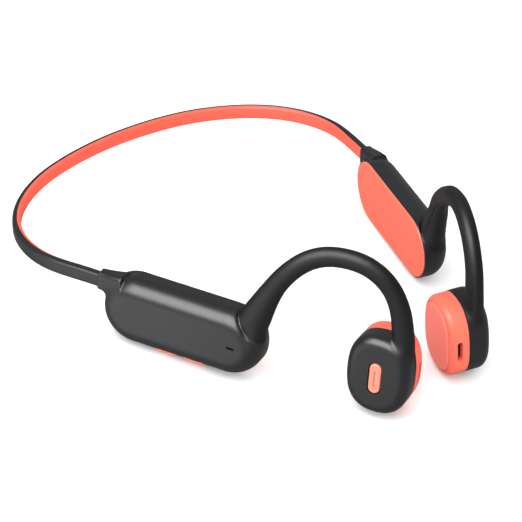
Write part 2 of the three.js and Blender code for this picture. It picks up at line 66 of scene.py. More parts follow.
BAND_H, BAND_T, BAND_CORNER = 4.66, 2.65, 1.05
BOOT_H, BOOT_T = 6.4, 4.1
ACTION_AT, ACTION_LEN, ACTION_W = [-0.15, -0.3], 9.7, 3.6
VOLUME_AT, VOLUME_LEN, VOLUME_W = [-4.45, 4.7], 7.9, 2.7
SLIT_AT = [17.5, 0.05]
VENT_U, VENT_N, VENT_LEN, VENT_W = -0.5, -3.15, 6.9, 1.75


def to_world(p):
    t = math.radians(REST_TILT)
    c, s = math.cos(t), math.sin(t)
    p = np.asarray(p, float)
    return np.stack([p[..., 0], p[..., 1] * c + p[..., 2] * s + SHIFT_Y, -p[..., 1] * s + p[..., 2] * c + LIFT], -1) / 1000


class Frame:
    """A local frame: a forward, u up, n outwards."""

    def __init__(self, o, angles):
        y, p, r = (math.radians(x) for x in angles)
        a = np.array([math.sin(y) * math.cos(p), -math.cos(y) * math.cos(p), math.sin(p)])
        n0 = np.cross(a, [0, 0, 1.0])
        n0 /= np.linalg.norm(n0)
        u0 = np.cross(n0, a)
        self.o = np.array(o, float)
        self.m = np.stack([a, math.cos(r) * u0 - math.sin(r) * n0, math.cos(r) * n0 + math.sin(r) * u0])

    def local(self, p):
        return (p - self.o) @ self.m.T

    def out(self, l):
        return self.o + l @ self.m


POD, SPK = Frame(POD_CENTRE, POD_ANGLES), Frame(SPK_CENTRE, SPK_ANGLES)
POD.o = POD.o + 0.38 * POD.m[1] - 0.6 * POD.m[0]
POD_RUN += 0.1


# --------------------------------------------------------------------- curves
def catmull(points, count):
    """Uniform Catmull-Rom through the points, resampled evenly by length."""
    p = np.array(points, float)
    p = np.vstack([2 * p[0] - p[1], p, 2 * p[-1] - p[-2]])
    out = []
    for i in range(1, len(p) - 2):
        t = np.linspace(0, 1, 60, endpoint=False)[:, None]
        a, b, c, d = p[i - 1], p[i], p[i + 1], p[i + 2]
        out.append(0.5 * (2 * b + (c - a) * t + (2 * a - 5 * b + 4 * c - d) * t**2 + (3 * b - a - 3 * c + d) * t**3))
    out = np.vstack(out + [p[-2][None]])
    s = np.concatenate([[0], np.cumsum(np.linalg.norm(np.diff(out, axis=0), axis=1))])
    at = np.linspace(0, s[-1], count)
    return np.stack([np.interp(at, s, out[:, k]) for k in range(3)], 1), s[-1]


def soften(v, width):
    """Moving average that keeps the ends, for values listed along a curve."""
    if width < 1:
        return v
    pad = np.concatenate([2 * v[:1] - v[1:width + 1][::-1], v, 2 * v[-1:] - v[-width - 1:-1][::-1]])
    k = np.hanning(2 * width + 3)[1:-1]
    k /= k.sum()
    if v.ndim == 1:
        return np.convolve(pad, k, "valid")
    return np.stack([np.convolve(pad[:, i], k, "valid") for i in range(v.shape[1])], 1)


class Sweep:
    """A centreline with a steady section frame, e1 across x and e2 across y."""

    def __init__(self, points, hint, count):
        self.c, self.length = catmull(points, count)
        self.c = soften(self.c, count // 60)
        d = np.linalg.norm(np.diff(self.c, axis=0), axis=1)
        self.s = np.concatenate([[0], np.cumsum(d)])
        self.length = self.s[-1]
        t = np.gradient(self.c, axis=0)
        self.t = t / np.linalg.norm(t, axis=1)[:, None]
        e2 = np.array(hint, float) - (self.t @ np.array(hint, float))[:, None] * self.t
        self.e2 = e2 / np.linalg.norm(e2, axis=1)[:, None]
        self.e1 = np.cross(self.e2, self.t)

    def section(self, p):
        """(length along, x, y) of points, by the nearest place on the centreline."""
        step = max(1, len(self.c) // 130)
        coarse = self.c[::step].astype(np.float32)
        c2 = (coarse**2).sum(1)
        idx = np.empty(len(p), int)
        for i in range(0, len(p), 60000):
            q = p[i:i + 60000].astype(np.float32)
            idx[i:i + 60000] = (c2 - 2 * (q @ coarse.T)).argmin(1)
        s = self.s[np.minimum(idx * step, len(self.c) - 1)]
        for _ in range(3):
            c = np.stack([np.interp(s, self.s, self.c[:, k]) for k in range(3)], 1)
            t = np.stack([np.interp(s, self.s, self.t[:, k]) for k in range(3)], 1)
            s = s + ((p - c) * t).sum(1)
        over = s
        s = np.clip(s, 0, self.length)
        c = np.stack([np.interp(s, self.s, self.c[:, k]) for k in range(3)], 1)
        e1 = np.stack([np.interp(s, self.s, self.e1[:, k]) for k in range(3)], 1)
        e2 = np.stack([np.interp(s, self.s, self.e2[:, k]) for k in range(3)], 1)
        d = p - c
        return over, (d * e1).sum(1), (d * e2).sum(1)


hook_hint = POD.m[2] + SPK.m[2]


class Side:
    """One ear's shapes, both described as the right side; the left is mirrored on the way out.
    The sprung hooks never sit quite alike, so each has its own small set."""

    def __init__(self, name):
        self.name, self.mirror = name, name == "left"
        self.body = name + "_side"
        self.spk = Frame(SPK_CENTRE, SPK_ANGLES)
        path = np.array(HOOK_PATH, float)
        t = np.linspace(0, 1, len(path))
        arch = np.exp(-(((t - 0.45) / 0.25) ** 2))[:, None]
        end = np.clip((t - 0.55) / 0.45, 0, 1)[:, None] ** 2
        if name == "right":
            self.spk.o = self.spk.o + 0.63 * self.spk.m[1] + np.array([-0.25, 0.24, 0.0])
            path = path + arch * [0, 0, 0.55] + end * [0.05, -0.15, 0.2]
        else:
            self.spk.o = self.spk.o + np.array([-0.42, -0.40, 0.3])
            bump = lambda c, w: np.exp(-(((t - c) / w) ** 2))[:, None]
            over, down = np.array([-0.7273, -0.6863, 0]), np.array([0.3545, -0.3757, -0.8563])
            path = path + end * [-0.4, -0.4, 0] - 0.55 * bump(0.3, 0.07) * over + 0.8 * bump(0.41, 0.07) * down + bump(0.54, 0.09) * (0.45 * over - 0.3 * down)
        path = path + np.clip(1 - t / 0.22, 0, 1)[:, None] * [0.22, -0.56, 0]
        into = [self.spk.out(np.array(q)) for q in ([5.55, 5.0, 2.6], [4.3, 1.0, 2.0])]
        path = np.vstack([[[-40.4, -43.9, -11.2]], path, into])
        self.hook = Sweep(path, hook_hint / np.linalg.norm(hook_hint), 460)
        self.start, self.run = (self.hook.s[np.linalg.norm(self.hook.c - q, axis=1).argmin()] for q in (path[1], path[-3]))
        self.run -= self.start
        q = self.hook.c
        self.lo, self.hi = q.min(0) - 9.0, q.max(0) + 9.0


full = [BAND_LEAD] + [[x, y, 0] for x, y in BAND_PATH] + [[-x, y, 0] for x, y in BAND_PATH[-2::-1]] + [[-BAND_LEAD[0], BAND_LEAD[1], BAND_LEAD[2]]]
BAND = Sweep(full, [0, 0, 1], 1200)
LEAD = math.dist(BAND_LEAD, [*BAND_PATH[0], 0])
hr_t = np.linspace(-0.07, 1.11, 240)
HOOK_RX = soften(np.interp(hr_t, [r[0] for r in HOOK_R], [r[1] for r in HOOK_R]), 9)
HOOK_RY = soften(np.interp(hr_t, [r[0] for r in HOOK_R], [r[2] for r in HOOK_R]), 9)


# --------------------------------------------------------------------- fields
def smin(a, b, k):
    h = np.clip(0.5 + 0.5 * (b - a) / k, 0, 1)
    return b * (1 - h) + a * h - k * h * (1 - h)


def rjoin(a, b, r):
    """Where both half spaces hold, with their shared edge rounded by r."""
    return np.minimum(np.maximum(a, b) + r, 0) + np.hypot(np.maximum(a + r, 0), np.maximum(b + r, 0)) - r


def stadium(x, y, run):
    return np.hypot(np.maximum(np.abs(x) - run, 0), y)


def oval(x, y, A, B, p):
    """How far outside the outline, whose offsets are superellipses of the same power."""
    x, y = np.abs(x) + 1e-5, np.abs(y) + 1e-5
    d = (((x / A) ** p + (y / B) ** p) ** (1 / p) - 1) * min(A, B)
    for _ in range(5):
        ea, eb = np.maximum(A + d, 0.4), np.maximum(B + d, 0.4)
        fa, fb = (x / ea) ** p, (y / eb) ** p
        d = np.maximum(d + np.clip((fa + fb - 1) / (p * (fa / ea + fb / eb)), -4, 4), 0.5 - min(A, B))
    return d


def slab2(x, y, hx, hy, r):
    qx, qy = np.abs(x) - hx + r, np.abs(y) - hy + r
    return np.hypot(np.maximum(qx, 0), np.maximum(qy, 0)) + np.minimum(np.maximum(qx, qy), 0) - r


def f_pod(p):
    l = POD.local(p)
    d = rjoin(stadium(l[:, 0], l[:, 1], POD_RUN) - POD_R, l[:, 2] - POD_OUT, POD_FILLET)
    return rjoin(d, POD_SEAM + 0.02 - l[:, 2], 0.22)


def near_box(p, lo, hi, far, f):
    """f(p) inside the box, and a plain far value outside it, to save time."""
    out = np.full(len(p), far)
    m = ((p > lo) & (p < hi)).all(1)
    if m.any():
        out[m] = f(p[m])
    return out


def f_hook(sd, p):
    return near_box(p, sd.lo, sd.hi, 5.0, lambda q: hook_near(sd, q))


def hook_near(sd, p):
    s, x, y = sd.hook.section(p)
    t = (s - sd.start) / sd.run
    rx, ry = np.interp(t, hr_t, HOOK_RX), np.interp(t, hr_t, HOOK_RY)
    k = np.sqrt((x / rx) ** 2 + (y / ry) ** 2) + 1e-9
    g = np.sqrt((x / rx**2) ** 2 + (y / ry**2) ** 2) + 1e-9
    d = np.where(k < 0.5, (k - 1) * np.minimum(rx, ry), k * (k - 1) / g)
    # mould line down the head side of the rear leg
    aim = np.interp(t, [0.02, 0.14, 0.28, 0.42, 0.5], [-1.75, -1.85, -2.2, -2.75, -3.0])
    ang = (np.arctan2(y, x) - aim + np.pi) % (2 * np.pi) - np.pi
    arc = ang * np.hypot(x, y)
    fade = np.clip((t - 0.03) / 0.05, 0, 1) * np.clip((0.50 - t) / 0.08, 0, 1)
    d = d + 0.34 * fade * np.exp(-((arc / 0.3) ** 2)) * (np.abs(d) < 1.2)
    return np.maximum(d, np.maximum(s - sd.hook.length, -s))


def f_spk(sd, p):
    l = sd.spk.local(p)
    d = rjoin(oval(l[:, 0], l[:, 1], SPK_A, SPK_B, SPK_P), l[:, 2] - SPK_OUT, SPK_FILLET)
    return rjoin(d, 0.02 - l[:, 2], 0.18)


def f_boot(p):
    return near_box(p, np.array([-66, -20, -11]), np.array([-42, 14, 11]), 5.0, boot_near)


def boot_near(p):
    s, x, y = BAND.section(p)
    k = np.clip((LEAD - 1 - s) / 9, 0, 1)
    k = k * k * (3 - 2 * k)
    d = slab2(x + 0.25 * (1 - k), y - 0.2 - 0.32 * k, (BOOT_T + 1.3 * k) / 2, (BOOT_H + 1.45 * k) / 2, 1.5)
    return np.maximum(rjoin(d, s - (LEAD - 1), 0.5), 0.5 - s)


def hook_spk_blend(sd, p):
    """Tight crease where the hook meets the speaker behind, soft run-out in front."""
    a = sd.spk.local(p)[:, 0]
    k = np.clip((a - 3.5) / 4.5, 0, 1)
    return 1.0 + 1.2 * k * k * (3 - 2 * k)


def pod_hook(sd, p, pod, hook):
    """Pod and hook as one surface: a moulded crease behind and outside, a soft run-out in front."""
    l = POD.local(p)
    k = np.clip((l[:, 0] - 20.5) / 5.0, 0, 1)
    k = k * k * (3 - 2 * k)
    c = smin(pod, hook, 1.3 + 2.6 * k)
    c = c + (1 - k) * 0.62 * np.exp(-(((hook - pod - 0.16) / 0.5) ** 2)) * (np.abs(c) < 1.5)
    return np.where(l[:, 0] < 27.2, np.maximum(c, POD_SEAM + 0.02 - l[:, 2]), c)


# ----------------------------------------------------------------- polygonise
def polygonise(field, fr, lo, hi, h, block=8):
    """Closed surface of field < 0. field(points) gives a list of fields whose
    largest is the solid, and corners where two of them meet stay crisp."""
    lo, hi = np.array(lo, float), np.array(hi, float)
    nb = np.ceil((hi - lo) / (h * block)).astype(int)
    dims = nb * block + 1
    gx, gy, gz = (np.arange(n) for n in nb)
    bi = np.stack(np.meshgrid(gx, gy, gz, indexing="ij"), -1).reshape(-1, 3)
    centre = lo + (bi + 0.5) * block * h
    big = np.max(field(fr.out(centre)), 0)
    vol = np.repeat(np.repeat(np.repeat(np.where(big < 0, -9.0, 9.0).reshape(nb), block, 0), block, 1), block, 2).astype(np.float32)
    vol = np.pad(vol, ((0, 1), (0, 1), (0, 1)), mode="edge")
    live = bi[np.abs(big) < block * h * 0.87 * 1.45 + 0.2]
    off = np.stack(np.meshgrid(*[np.arange(block + 1)] * 3, indexing="ij"), -1).reshape(-1, 3)
    mark = np.zeros(dims, bool)
    g = (live[:, None, :] * block + off[None]).reshape(-1, 3)
    mark[g[:, 0], g[:, 1], g[:, 2]] = True
    idx = np.argwhere(mark)
    for i in range(0, len(idx), 250000):
        q = idx[i:i + 250000]
        vol[q[:, 0], q[:, 1], q[:, 2]] = np.max(field(fr.out(lo + q * h)), 0)
    inside = vol < 0
    corners = [(i, j, k) for i in (0, 1) for j in (0, 1) for k in (0, 1)]
    sl = lambda a, c: a[c[0]:a.shape[0] - 1 + c[0], c[1]:a.shape[1] - 1 + c[1], c[2]:a.shape[2] - 1 + c[2]]
    count = sum(sl(inside, c).astype(np.uint8) for c in corners)
    mixed = (count > 0) & (count < 8)
    ids = np.full(mixed.shape, -1, np.int64)
    cell = np.argwhere(mixed)
    ids[mixed] = np.arange(len(cell))
    acc, cnt = np.zeros((len(cell), 3)), np.zeros(len(cell))
    for a in corners:
        for axis in range(3):
            if a[axis] == 1:
                continue
            b = list(a)
            b[axis] = 1
            va = vol[cell[:, 0] + a[0], cell[:, 1] + a[1], cell[:, 2] + a[2]].astype(float)
            vb = vol[cell[:, 0] + b[0], cell[:, 1] + b[1], cell[:, 2] + b[2]].astype(float)
            cross = (va < 0) != (vb < 0)
            t = np.where(cross, va / np.where(cross, va - vb, 1), 0)
            pos = np.array(a, float) + t[:, None] * (np.array(b, float) - np.array(a, float))
            acc[cross] += pos[cross]
            cnt += cross
    loc = lo + h * (cell + acc / cnt[:, None])
    faces = []
    for axis in range(3):
        o1, o2 = (axis + 1) % 3, (axis + 2) % 3
        s0 = [slice(None)] * 3
        s1 = [slice(None)] * 3
        s0[axis], s1[axis] = slice(0, -1), slice(1, None)
        a, b = inside[tuple(s0)], inside[tuple(s1)]
        e = np.argwhere(a != b)
        ok = (e[:, o1] > 0) & (e[:, o2] > 0) & (e[:, o1] < dims[o1] - 1) & (e[:, o2] < dims[o2] - 1)
        e = e[ok]
        flip = ~a[e[:, 0], e[:, 1], e[:, 2]]
        quad = []
        for d1, d2 in ((-1, -1), (0, -1), (0, 0), (-1, 0)):
            q = e.copy()
            q[:, o1] += d1
            q[:, o2] += d2
            quad.append(ids[q[:, 0], q[:, 1], q[:, 2]])
        quad = np.stack(quad, 1)
        quad[flip] = quad[flip][:, ::-1]
        faces.append(quad)
    faces = np.vstack(faces)
    pts = fr.out(loc)
    eps = 0.02
    for it in range(3):
        f = np.array(field(pts))
        nf = len(f)
        if len(f) == 1:
            f = np.vstack([f, np.full((1, f.shape[1]), -9.0)])
        order = np.argsort(-f, axis=0)
        if it < 2:
            base = f[:nf]
            grads = np.stack([(np.array(field(pts + eps * d)) - base) / eps for d in np.eye(3)], -1)
        n = np.arange(len(pts))
        i0, i1 = order[0], order[1]
        v0, v1 = f[i0, n], f[i1, n]
        g0 = grads[i0 % len(grads), n]
        step = -(v0 / np.maximum((g0**2).sum(1), 0.09))[:, None] * g0
        both = (np.abs(v0) < 0.62 * h) & (np.abs(v1) < 0.62 * h) & (i1 < len(grads))
        if both.any():
            ga, gb = g0[both], grads[i1[both], n[both]]
            aa, bb, ab = (ga * ga).sum(1), (gb * gb).sum(1), (ga * gb).sum(1)
            det = aa * bb - ab * ab
            sharp = det > 0.12 * aa * bb
            ra, rb = -v0[both], -v1[both]
            la = (ra * bb - rb * ab) / np.where(sharp, det, 1)
            lb = (rb * aa - ra * ab) / np.where(sharp, det, 1)
            two = la[:, None] * ga + lb[:, None] * gb
            where = np.flatnonzero(both)[sharp]
            step[where] = two[sharp]
        step = np.clip(step, -0.6 * h, 0.6 * h)
        pts = pts + step
    return pts, faces


# ------------------------------------------------------------------- objects
def add(name, pts, faces, mat, body=None, mirror=False, replaces=(), slot=None, smooth=True):
    p = np.array(pts, float)
    f = np.array(faces) if not isinstance(faces, list) else faces
    if mirror:
        p = p * [-1, 1, 1]
        f = f[:, ::-1] if isinstance(f, np.ndarray) else [q[::-1] for q in f]
    me = bpy.data.meshes.new(name)
    me.from_pydata(to_world(p).tolist(), [], f.tolist() if isinstance(f, np.ndarray) else f)
    me.validate()
    me.update()
    if smooth:
        me.polygons.foreach_set("use_smooth", np.ones(len(me.polygons), bool))
        me.set_sharp_from_angle(angle=math.radians(58))
    ob = bpy.data.objects.new(name, me)
    bpy.context.scene.collection.objects.link(ob)
    me.materials.append(mat)
    if replaces:
        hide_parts(*replaces)
    if body:
        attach(ob, body)
    if slot and slot.startswith("coral"):
        ob.visible_glossy = False
    return ob


def tube(rings, cap=True):
    """Rings of equal length joined in order, with ends closed by fans of rings."""
    n, m = len(rings), len(rings[0])
    pts = np.vstack(rings)
    i = np.arange(n - 1)[:, None] * m
    j = np.arange(m)[None]
    k = (j + 1) % m
    f = np.stack([i + j, i + k, i + m + k, i + m + j], -1).reshape(-1, 4).tolist()
    if cap:
        pts = np.vstack([pts, rings[0].mean(0), rings[-1].mean(0)])
        a, b = n * m, n * m + 1
        f += [[a, (q + 1) % m, q] for q in range(m)]
        f += [[b, (n - 1) * m + q, (n - 1) * m + (q + 1) % m] for q in range(m)]
    return pts, f


# ------------------------------------------------------------------ materials
def node_mat(name, base, rough, spread, bump, grain, skin=False, sheen=0.0, spec=0.5, sss=0.0, coat=0.0, metal=0.0, wear=0.0, dust=0.0):
    m = bpy.data.materials.new(name)
    m.use_nodes = True
    nt = m.node_tree
    nt.nodes.clear()
    N = lambda t, **kw: _n(nt, t, kw)
    L = nt.links.new
    out = N("ShaderNodeOutputMaterial")
    bs = N("ShaderNodeBsdfPrincipled")
    tc = N("ShaderNodeTexCoord")
    big = N("ShaderNodeTexNoise")
    big.inputs["Scale"].default_value = 42
    big.inputs["Detail"].default_value = 3
    fine = N("ShaderNodeTexNoise")
    fine.inputs["Scale"].default_value = grain
    fine.inputs["Detail"].default_value = 4
    fine.inputs["Roughness"].default_value = 0.62
    mid = N("ShaderNodeTexNoise")
    mid.inputs["Scale"].default_value = grain * 0.16
    mid.inputs["Detail"].default_value = 2
    for t in (big, fine, mid):
        L(tc.outputs["Object"], t.inputs["Vector"])
    ramp = N("ShaderNodeMix", data_type="RGBA")
    lo = tuple(max(0.0, c * (1 - spread)) for c in base)
    hi = tuple(min(1.0, c * (1 + spread)) for c in base)
    ramp.inputs[6].default_value = (*lo, 1)
    ramp.inputs[7].default_value = (*hi, 1)
    L(big.outputs["Fac"], ramp.inputs[0])
    col = ramp.outputs[2]
    if wear > 0:
        geo = N("ShaderNodeNewGeometry")
        edge = N("ShaderNodeMapRange")
        edge.inputs["From Min"].default_value = 0.52
        edge.inputs["From Max"].default_value = 0.66
        L(geo.outputs["Pointiness"], edge.inputs["Value"])
        k = N("ShaderNodeMath", operation="MULTIPLY")
        k.inputs[1].default_value = wear
        L(edge.outputs["Result"], k.inputs[0])
        k2 = N("ShaderNodeMath", operation="MULTIPLY")
        L(k.outputs[0], k2.inputs[0])
        L(mid.outputs["Fac"], k2.inputs[1])
        light = N("ShaderNodeMix", data_type="RGBA")
        light.inputs[7].default_value = (*[min(1.0, c * 1.5 + 0.05) for c in base], 1)
        L(k2.outputs[0], light.inputs[0])
        L(col, light.inputs[6])
        col = light.outputs[2]
    if skin:
        deep = N("ShaderNodeMix", data_type="RGBA", blend_type="MULTIPLY")
        deep.inputs[7].default_value = (0.5, 0.5, 0.5, 1)
        at = N("ShaderNodeAttribute", attribute_name="skin")
        L(at.outputs["Fac"], deep.inputs[0])
        L(col, deep.inputs[6])
        col = deep.outputs[2]
    L(col, bs.inputs["Base Color"])
    rr = N("ShaderNodeMapRange")
    rr.inputs["To Min"].default_value = max(0.02, rough - 0.045)
    rr.inputs["To Max"].default_value = min(1.0, rough + 0.045)
    L(mid.outputs["Fac"], rr.inputs["Value"])
    L(rr.outputs["Result"], bs.inputs["Roughness"])
    bs.inputs["Metallic"].default_value = metal
    bs.inputs["Specular IOR Level"].default_value = spec
    if skin:
        more = N("ShaderNodeMath", operation="MULTIPLY_ADD")
        more.inputs[1].default_value = 0.12
        L(at.outputs["Fac"], more.inputs[0])
        L(rr.outputs["Result"], more.inputs[2])
        L(more.outputs[0], bs.inputs["Roughness"])
        less = N("ShaderNodeMapRange")
        less.inputs["To Min"].default_value, less.inputs["To Max"].default_value = spec, spec * 0.72
        L(at.outputs["Fac"], less.inputs["Value"])
        L(less.outputs["Result"], bs.inputs["Specular IOR Level"])
    if sheen:
        bs.inputs["Sheen Weight"].default_value = sheen
        bs.inputs["Sheen Roughness"].default_value = 0.45
    if sss:
        bs.inputs["Subsurface Weight"].default_value = sss
        bs.inputs["Subsurface Radius"].default_value = (1.0, 0.32, 0.2)
        bs.inputs["Subsurface Scale"].default_value = 0.0011
    if coat:
        bs.inputs["Coat Weight"].default_value = coat
        bs.inputs["Coat Roughness"].default_value = 0.32
    bp = N("ShaderNodeBump")
    bp.inputs["Strength"].default_value = bump
    bp.inputs["Distance"].default_value = 0.00004
    L(fine.outputs["Fac"], bp.inputs["Height"])
    L(bp.outputs["Normal"], bs.inputs["Normal"])
    L(bs.outputs["BSDF"], out.inputs["Surface"])
    return m


def _n(nt, kind, kw):
    node = nt.nodes.new(kind)
    for k, v in kw.items():
        setattr(node, k, v)
    return node


MAT = {
    "shell": node_mat("charcoal_plastic", (0.0082, 0.0090, 0.0104), 0.35, 0.10, 0.16, 5200, skin=True, spec=0.55),
    "silicone": node_mat("charcoal_silicone", (0.0082, 0.0090, 0.0103), 0.40, 0.10, 0.16, 6500, spec=0.5),
    "coral": node_mat("coral_plastic", (0.93, 0.148, 0.090), 0.44, 0.045, 0.28, 5200, spec=0.45, sss=0.12),
    "coral_skin": node_mat("coral_silicone", (0.93, 0.105, 0.062), 0.50, 0.045, 0.30, 6500, spec=0.4, sss=0.18),
    "pad": node_mat("coral_skin_pad", (0.95, 0.225, 0.175), 0.55, 0.04, 0.35, 7500, spec=0.35, sss=0.25),
    "button": node_mat("coral_button", (0.93, 0.25, 0.175), 0.42, 0.04, 0.22, 5200, spec=0.5, sss=0.12),
    "mesh": node_mat("grille_mesh", (0.012, 0.010, 0.010), 0.6, 0.1, 0.8, 3000, spec=0.3),
    "wire": node_mat("titanium_wire", (0.42, 0.42, 0.43), 0.32, 0.05, 0.2, 9000, metal=1.0),
    "cable": node_mat("cable_jacket", (0.02, 0.02, 0.02), 0.5, 0.05, 0.2, 6000),
}

# ------------------------------------------------- charcoal shells and the hook
SIDES = [Side("right"), Side("left")]


def seg_stadium(x, y, x0, y0, run, r, upright=False):
    return (stadium(y - y0, x - x0, run) if upright else stadium(x - x0, y - y0, run)) - r


def pod_field(sd):
    def f(p):
        pod, hook, boot = f_pod(p), f_hook(sd, p), f_boot(p)
        c = smin(pod_hook(sd, p, pod, hook), boot, 1.9)
        out = [c, pod - hook + 0.012]
        s, x, y = BAND.section(p)
        bore = slab2(x, y, BAND_T / 2 + 0.06, BAND_H / 2 + 0.06, BAND_CORNER)
        out.append(-np.maximum(bore, LEAD - 3.6 - s))
        if sd.name == "right":
            l = POD.local(p)
            out.append(-np.maximum(seg_stadium(l[:, 0], l[:, 1], SLIT_AT[0], SLIT_AT[1], 0.92, 0.36), 2.9 - l[:, 2]))
            wells = [np.maximum(seg_stadium(l[:, 0], l[:, 2], v, -0.2, (VOLUME_LEN - VOLUME_W) / 2, VOLUME_W / 2 + 0.16), l[:, 1] + POD_R - 1.9) for v in VOLUME_AT]
            out.append(-np.minimum(*wells))
        return out
    return f


def hook_field(sd):
    def f(p):
        pod, hook, spk = f_pod(p), f_hook(sd, p), f_spk(sd, p)
        c = smin(pod_hook(sd, p, pod, hook), spk, hook_spk_blend(sd, p))
        l = sd.spk.local(p)
        room = np.maximum(np.hypot(l[:, 0], l[:, 1]) - 6.6, l[:, 2] - 1.4)
        out = [c, np.minimum(hook, spk) - pod + 0.012, -room]
        if sd.name == "right":
            out.append(-np.maximum(seg_stadium(l[:, 0], l[:, 1], ACTION_AT[0], ACTION_AT[1], (ACTION_LEN - ACTION_W) / 2, ACTION_W / 2 + 0.36, True), SPK_OUT - 2.2 - l[:, 2]))
        return out
    return f


for sd in SIDES:
    add(f"{sd.name}_pod_shell_and_boot", *polygonise(pod_field(sd), POD, [-37, -11.6, -6.4], [26.8, 14.6, 6.4], H), MAT["shell"], sd.body, sd.mirror, [f"{sd.name}_pod_shell", f"{sd.name}_band_boot"], "charcoal_plastic")
    reach = sd.spk.local(sd.hook.c)
    lo, hi = np.minimum(reach.min(0) - 6.5, [-11.4, -14.4, -0.8]), np.maximum(reach.max(0) + 6.5, [12.8, 14.4, 8.3])
    pts, faces = polygonise(hook_field(sd), sd.spk, lo, hi, H)
    ob = add(f"{sd.name}_ear_hook_and_speaker_shell", pts, faces, MAT["shell"], sd.body, sd.mirror, [f"{sd.name}_ear_hook", f"{sd.name}_speaker_shell"], "charcoal_silicone")
    k = np.clip(0.5 + (f_spk(sd, pts) - f_hook(sd, pts)) / 3.0, 0, 1)
    ob.data.attributes.new("skin", "FLOAT", "POINT").data.foreach_set("value", (k * k * (3 - 2 * k)).astype(np.float32))


# ---------------------------------------------------------------- coral pieces
def cover_field(p):
    l = POD.local(p)
    d2 = stadium(l[:, 0], l[:, 1], POD_RUN) - (POD_R - 0.40)
    crown = 0.4 * np.clip(-d2 / POD_R, 0, 1) ** 0.7
    top = (POD_IN - 0.02 - crown) - l[:, 2]
    return [rjoin(rjoin(d2, top, 0.55), l[:, 2] - (POD_SEAM + 0.4), 0.12)]


def speaker_end(l, grow=0.0):
    d2 = oval(l[:, 0], l[:, 1], SPK_A - 0.1, SPK_B - 0.1, SPK_P)
    crown = 0.12 * np.clip(-d2 / SPK_A, 0, 1)
    return d2, rjoin(d2, (PAD_FACE + 0.12 - crown) - grow - l[:, 2], SPK_ROUND)


PAD_INSET = 1.45


def housing_field(p):
    l = SPK.local(p)
    d2, e = speaker_end(l)
    body = rjoin(e, l[:, 2] + 0.12, 0.14)
    pocket = np.maximum(d2 + PAD_INSET, l[:, 2] + 5.0)
    vent = slab2(l[:, 1] - VENT_U, l[:, 2] - VENT_N, VENT_LEN / 2, VENT_W / 2, 0.85)
    room = np.maximum(d2 + 2.4, -1.3 - l[:, 2])
    return [body, -pocket, -room, -np.maximum(vent, SPK_A - 3.0 - l[:, 0])]


def pad_field(p):
    l = SPK.local(p)
    d2, e = speaker_end(l, 0.10)
    return [rjoin(rjoin(e, d2 + PAD_INSET + 0.24, 0.34), l[:, 2] + 5.05, 0.1)]


def mesh_field(p):
    l = SPK.local(p)
    v = slab2(l[:, 1] - VENT_U, l[:, 2] - VENT_N, VENT_LEN / 2 - 0.06, VENT_W / 2 - 0.06, 0.84)
    wave = 0.07 * np.cos(l[:, 1] * 2 * np.pi / 0.62) * np.cos(l[:, 2] * 2 * np.pi / 0.62)
    return [rjoin(v, np.abs(l[:, 0] - (SPK_A - 2.45)) - 0.3 + wave, 0.05)]


cover = polygonise(cover_field, POD, [-26.8, -11.6, -6.2], [26.8, 11.6, -4], H)
housing = polygonise(housing_field, SPK, [-10.8, -13.8, -8], [10.8, 13.8, 0.6], H)
pad = polygonise(pad_field, SPK, [-9.8, -12.8, -8], [9.8, 12.8, -4.4], H)
grille = polygonise(mesh_field, SPK, [6.4, -4.2, -4.6], [8.6, 4.2, -1.4], 0.11)
for sd in SIDES:
    move = lambda m: (m[0] + (sd.spk.o - SPK.o), m[1])
    add(f"{sd.name}_pod_cover_surface", *cover, MAT["coral"], sd.body, sd.mirror, [f"{sd.name}_pod_cover"], "coral_plastic")
    add(f"{sd.name}_speaker_housing_surface", *move(housing), MAT["coral"], sd.body, sd.mirror, [f"{sd.name}_speaker_housing"], "coral_plastic")
    add(f"{sd.name}_skin_pad_surface", *move(pad), MAT["pad"], sd.body, sd.mirror, [f"{sd.name}_skin_pad"], "coral_skin_pad")
    add(f"{sd.name}_vent_mesh_surface", *move(grille), MAT["mesh"], sd.body, sd.mirror, [f"{sd.name}_vent_mesh"], "black_seal")


# --------------------------------------------------------------------- buttons
def action_field(p):
    l = SPK.local(p)
    d2 = seg_stadium(l[:, 0], l[:, 1], ACTION_AT[0], ACTION_AT[1], (ACTION_LEN - ACTION_W) / 2, ACTION_W / 2, True)
    dish = 0.10 * np.clip(-d2 / (ACTION_W / 2), 0, 1)
    top = l[:, 2] - (SPK_OUT + 0.35) + dish
    line = np.hypot(np.maximum(np.abs(l[:, 1] - ACTION_AT[1]) - 2.35, 0), l[:, 0] - ACTION_AT[0]) - 0.24
    cut = np.where(l[:, 2] > SPK_OUT - 0.2, line, np.hypot(np.maximum(line + 0.1, 0), SPK_OUT - 0.2 - l[:, 2]) - 0.1)
    return [rjoin(rjoin(d2, top, 0.62), SPK_OUT - 1.5 - l[:, 2], 0.2), -cut]


def volume_field(a):
    def f(p):
        l = POD.local(p)
        d2 = seg_stadium(l[:, 0], l[:, 2], a, -0.2, (VOLUME_LEN - VOLUME_W) / 2, VOLUME_W / 2 - 0.02)
        return [rjoin(rjoin(d2, -POD_R - 0.12 - l[:, 1], 0.5), l[:, 1] + POD_R - 1.3, 0.15)]
    return f


hb = 0.1
add("action_button_surface", *(lambda m: (m[0] + (SIDES[0].spk.o - SPK.o), m[1]))(polygonise(action_field, SPK, [-2.6, -5.8, 5.2], [2.4, 5.2, 8.3], hb)), MAT["button"], "action_button", False, ["action_button"], "coral_button")
for name, a in zip(("volume_down_button", "volume_up_button"), VOLUME_AT):
    add(name + "_surface", *polygonise(volume_field(a), POD, [a - 4.4, -11.5, -2.2], [a + 4.4, -8.8, 1.8], hb * 1.2), MAT["button"], name, False, [name], "coral_button")


# ------------------------------------------------------------------------ band
SEAM_X = 0.15  # the outer skin wraps over the top as far as this


